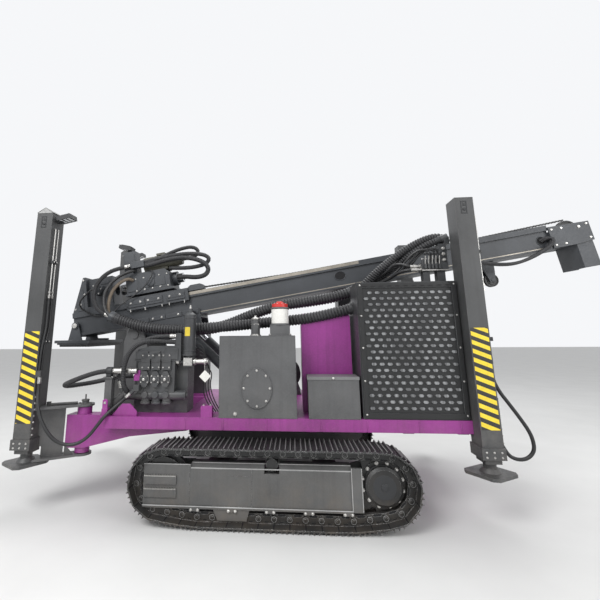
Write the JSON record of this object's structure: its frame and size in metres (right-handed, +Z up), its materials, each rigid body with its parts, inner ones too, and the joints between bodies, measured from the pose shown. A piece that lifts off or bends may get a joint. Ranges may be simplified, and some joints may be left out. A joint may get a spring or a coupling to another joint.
{
  "type": "tracked core drilling rig",
  "caption": "Tracked core drilling rig with a sliding tilting mast, rotation head, mud pump, engine hood and square corner jacks.",
  "frame": {"origin": "middle of the rig's length and width on the ground under its tracks, with the jacks up", "axes": "+X towards the mast's crown end, +Y towards the right side, +Z up; the drilling end is at -X"},
  "size_m": [6.2778, 2.3886, 2.9756],
  "materials": {
    "purple_paint": "gloss",
    "charcoal_paint": "satin",
    "dark_paint": "satin",
    "track_steel": "dusty",
    "bare_steel": "brushed",
    "chrome_rod": "polished",
    "white_paint": "gloss",
    "red_plastic": "gloss",
    "olive_metal": "satin",
    "hose_rubber": "matte"
  },
  "bodies": {
    "chassis": {"chassis_frame": "purple_paint", "cross_frame": "charcoal_paint", "track_frames": "charcoal_paint", "track_left": "track_steel", "track_right": "track_steel", "drive_sprockets": "dark_paint", "idlers": "charcoal_paint", "track_rollers": "charcoal_paint", "rear_jack_tubes": "charcoal_paint", "hydraulic_tank": "charcoal_paint", "filter_canister": "white_paint", "canister_cap": "red_plastic", "fuel_tank": "purple_paint", "tool_box": "charcoal_paint", "engine_hood": "charcoal_paint", "hood_pods": "charcoal_paint", "side_grilles": "charcoal_paint", "engine_block": "charcoal_paint", "mud_pump": "charcoal_paint", "air_vessel": "charcoal_paint", "valve_bank": "charcoal_paint", "mast_rest": "charcoal_paint", "pivot_tower": "charcoal_paint", "control_console": "charcoal_paint", "winch_frame": "charcoal_paint", "hose_tilt": "hose_rubber", "pump_hose": "hose_rubber", "return_hose": "hose_rubber", "hood_hose": "hose_rubber", "jack_hose_left": "hose_rubber", "jack_hose_rear": "hose_rubber"},
    "left_swing": {"swing_arm_left": "charcoal_paint", "front_tube_left": "charcoal_paint", "lamp_left": "charcoal_paint"},
    "right_swing": {"swing_arm_right": "charcoal_paint", "front_tube_right": "charcoal_paint", "lamp_right": "charcoal_paint"},
    "front_left_leg": {"jack_leg_front_left": "charcoal_paint"},
    "front_right_leg": {"jack_leg_front_right": "charcoal_paint"},
    "rear_left_leg": {"jack_leg_rear_left": "charcoal_paint"},
    "rear_right_leg": {"jack_leg_rear_right": "charcoal_paint"},
    "box_lid": {"tool_box_lid": "charcoal_paint"},
    "rope_drum": {"winch_drum": "bare_steel"},
    "cylinder_barrels": {"tilt_barrels": "dark_paint"},
    "cylinder_rods": {"tilt_rods": "chrome_rod"},
    "cradle": {"mast_cradle": "dark_paint", "hose_slide": "hose_rubber"},
    "mast": {"mast_beam": "dark_paint", "crown_block": "dark_paint", "feed_chain": "bare_steel", "rod_clamp": "dark_paint", "hose_feed": "hose_rubber"},
    "guide_sheave": {"snatch_sheave": "bare_steel"},
    "top_sheave": {"crown_sheave": "bare_steel"},
    "foot_pad": {"mast_foot": "dark_paint"},
    "head": {"head_carriage": "dark_paint", "rotation_head": "dark_paint", "head_motor": "olive_metal", "head_lamp": "dark_paint"},
    "drill_spindle": {"spindle": "bare_steel"}
  },
  "joints": [
    {"name": "left_arm_swing", "type": "hinge", "parent": "chassis", "child": "left_swing", "pos_m": [-2.5, -0.781, 0.7], "axis": [0, 0, 1], "range_deg": [0, 45], "deforming": ["jack_hose_left"]},
    {"name": "right_arm_swing", "type": "hinge", "parent": "chassis", "child": "right_swing", "pos_m": [-2.5, 0.781, 0.7], "axis": [0, 0, -1], "range_deg": [0, 45]},
    {"name": "front_left_jack", "type": "slide", "parent": "left_swing", "child": "front_left_leg", "axis": [0, 0, -1], "range_m": [0, 1.1]},
    {"name": "front_right_jack", "type": "slide", "parent": "right_swing", "child": "front_right_leg", "axis": [0, 0, -1], "range_m": [0, 1.1]},
    {"name": "rear_left_jack", "type": "slide", "parent": "chassis", "child": "rear_left_leg", "axis": [0, 0, -1], "range_m": [0, 1.1]},
    {"name": "rear_right_jack", "type": "slide", "parent": "chassis", "child": "rear_right_leg", "axis": [0, 0, -1], "range_m": [0, 1.1]},
    {"name": "lid_hinge", "type": "hinge", "parent": "chassis", "child": "box_lid", "pos_m": [0.0135, -0.68, 1.218], "axis": [-1, 0, 0], "range_deg": [0, 85]},
    {"name": "drum_turn", "type": "hinge", "parent": "chassis", "child": "rope_drum", "pos_m": [-0.45, 0.68, 1.12], "axis": [0, 1, 0], "continuous": true},
    {"name": "mast_tilt", "type": "hinge", "parent": "chassis", "child": "cradle", "pos_m": [-2.19967, 0, 1.64026], "axis": [0, -1, 0], "range_deg": [0, 80.5], "deforming": ["hose_tilt"]},
    {"name": "mast_slide", "type": "slide", "parent": "cradle", "child": "mast", "axis": [-0.9863, 0, -0.165], "range_m": [0, 0.55], "deforming": ["hose_slide"]},
    {"name": "guide_sheave_turn", "type": "hinge", "parent": "mast", "child": "guide_sheave", "pos_m": [2.01792, 0, 2.24769], "axis": [0, 1, 0], "continuous": true},
    {"name": "top_sheave_turn", "type": "hinge", "parent": "mast", "child": "top_sheave", "pos_m": [2.95461, 0, 2.83028], "axis": [0, 1, 0], "continuous": true},
    {"name": "foot_level", "type": "hinge", "parent": "mast", "child": "foot_pad", "pos_m": [-3.02174, 0, 1.75414], "axis": [0, 1, 0], "range_deg": [0, 80.5]},
    {"name": "head_feed", "type": "slide", "parent": "mast", "child": "head", "axis": [0.9863, 0, 0.165], "range_m": [0, 3.6], "deforming": ["feed_chain", "hose_feed"]},
    {"name": "spindle_turn", "type": "hinge", "parent": "head", "child": "drill_spindle", "pos_m": [-2.45291, 0, 2.24475], "axis": [0.9863, 0, 0.165], "continuous": true},
    {"name": "cylinder_swing", "type": "hinge", "parent": "chassis", "child": "cylinder_barrels", "pos_m": [-0.76, 0, 0.93], "axis": [0, -1, 0], "range_deg": [-12, 12]},
    {"name": "rod_slide", "type": "slide", "parent": "cylinder_barrels", "child": "cylinder_rods", "axis": [-0.7458, 0, 0.6661], "range_m": [0, 0.82]}
  ],
  "couplings": [
    {"joint": "foot_level", "follows": "mast_tilt", "ratio": 1},
    {"joint": "cylinder_swing", "follows": "mast_tilt", "ratio": -0.064},
    {"joint": "rod_slide", "follows": "mast_tilt", "m_per_rad": 0.54}
  ]
}
